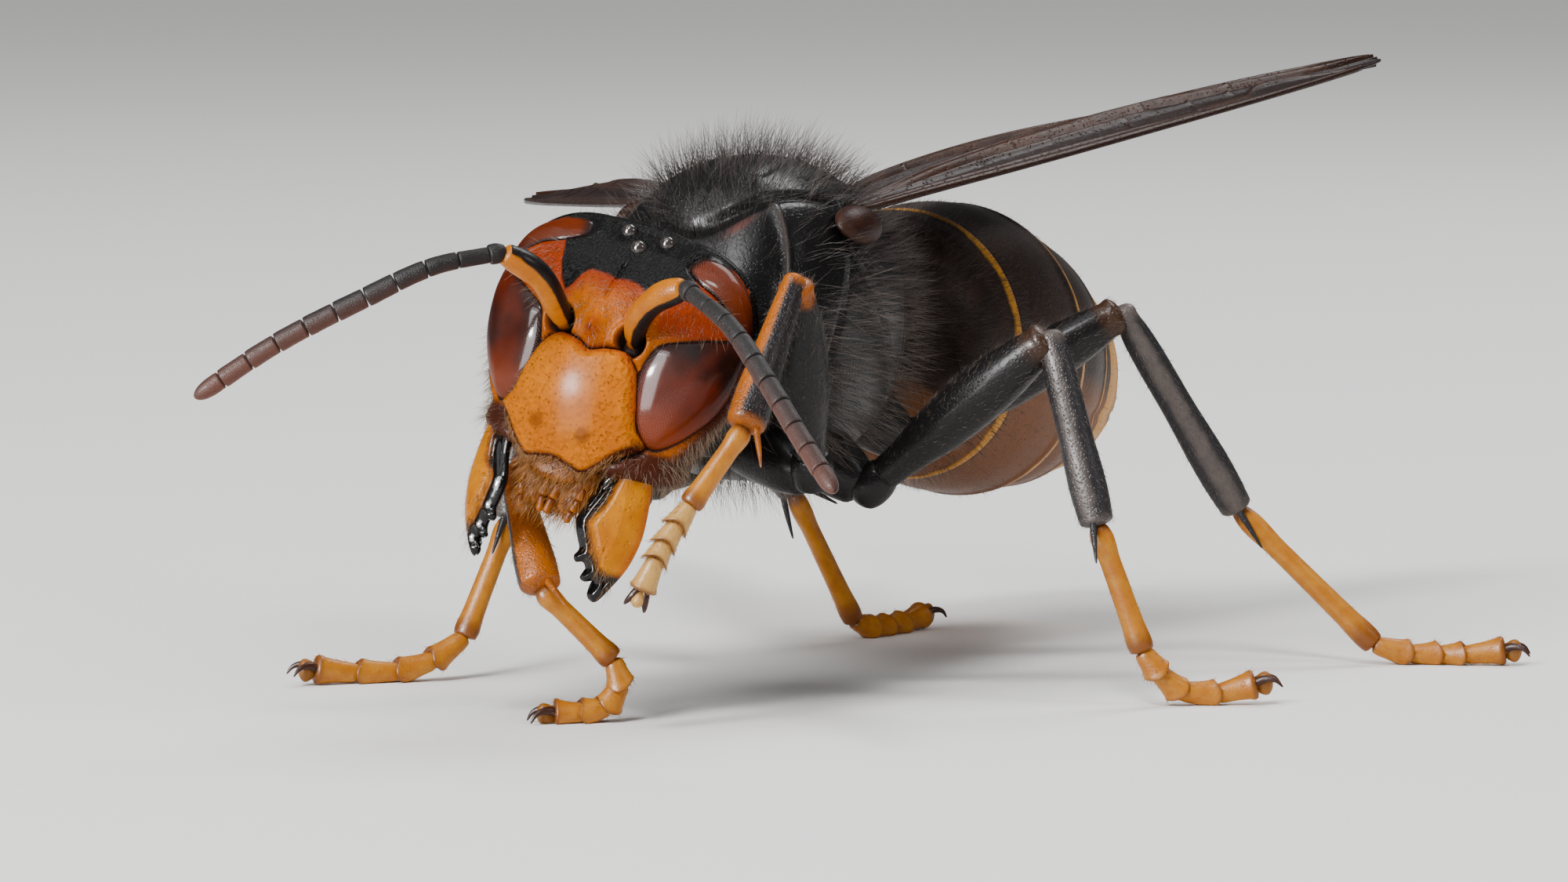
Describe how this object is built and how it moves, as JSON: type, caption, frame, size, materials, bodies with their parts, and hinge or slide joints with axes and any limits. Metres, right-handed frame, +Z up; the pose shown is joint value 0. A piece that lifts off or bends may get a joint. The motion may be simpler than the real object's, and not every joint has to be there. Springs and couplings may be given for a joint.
{
  "type": "yellow-legged hornet model",
  "caption": "Life-size still model of an Asian yellow-legged hornet standing on five feet with one fore leg raised, wings folded back.",
  "frame": {"origin": "middle of the whole model's footprint, on the floor the feet stand on", "axes": "+Z up; the hornet faces -Y, its tail points to +Y and its own left side is +X"},
  "size_m": [0.0259, 0.0299, 0.0122],
  "materials": {
    "black_cuticle": "black insect cuticle, satin, finely pitted and hairy",
    "orange_cuticle": "smooth orange-yellow cuticle, glossy",
    "eye": "red-brown compound eye, glossy, finely facetted",
    "mouthparts": "orange-brown skin with pale hair fringes",
    "flagellum": "dark brown, matte, paler towards the tip",
    "tegula": "brown wing-base plate, satin",
    "brown_cuticle": "dark brown cuticle, velvety, with thin yellow bands",
    "gaster_rear": "brown-orange cuticle, satin",
    "wing": "smoky brown clear wing skin with darker veins",
    "fore_tibia": "orange cuticle with dark panels",
    "tibia": "dark grey-brown cuticle with pale down",
    "tarsus": "yellow cuticle, satin, with fine hairs"
  },
  "bodies": {
    "root": {"head": "black_cuticle", "clypeus": "orange_cuticle", "eye_left": "eye", "eye_right": "eye", "mandible_left": "orange_cuticle", "mandible_right": "orange_cuticle", "mouthparts": "mouthparts", "antenna_left_scape": "orange_cuticle", "antenna_left_flagellum": "flagellum", "antenna_right_scape": "orange_cuticle", "antenna_right_flagellum": "flagellum", "pronotum": "black_cuticle", "mesothorax": "black_cuticle", "propodeum": "black_cuticle", "neck": "black_cuticle", "tegula_left": "tegula", "tegula_right": "tegula", "gaster_1": "brown_cuticle", "gaster_2": "brown_cuticle", "gaster_3": "brown_cuticle", "gaster_4": "brown_cuticle", "gaster_5": "gaster_rear", "gaster_6": "gaster_rear", "forewing_left": "wing", "forewing_right": "wing", "hindwing_left": "wing", "hindwing_right": "wing", "leg_fore_left_coxa": "black_cuticle", "leg_fore_left_femur": "black_cuticle", "leg_fore_left_tibia": "fore_tibia", "leg_fore_left_tarsus": "tarsus", "leg_fore_right_coxa": "black_cuticle", "leg_fore_right_femur": "black_cuticle", "leg_fore_right_tibia": "fore_tibia", "leg_fore_right_tarsus": "tarsus", "leg_mid_left_coxa": "black_cuticle", "leg_mid_left_femur": "black_cuticle", "leg_mid_left_tibia": "tibia", "leg_mid_left_tarsus": "tarsus", "leg_mid_right_coxa": "black_cuticle", "leg_mid_right_femur": "black_cuticle", "leg_mid_right_tibia": "tibia", "leg_mid_right_tarsus": "tarsus", "leg_hind_left_coxa": "black_cuticle", "leg_hind_left_femur": "black_cuticle", "leg_hind_left_tibia": "tibia", "leg_hind_left_tarsus": "tarsus", "leg_hind_right_coxa": "black_cuticle", "leg_hind_right_femur": "black_cuticle", "leg_hind_right_tibia": "tibia", "leg_hind_right_tarsus": "tarsus"}
  },
  "joints": []
}
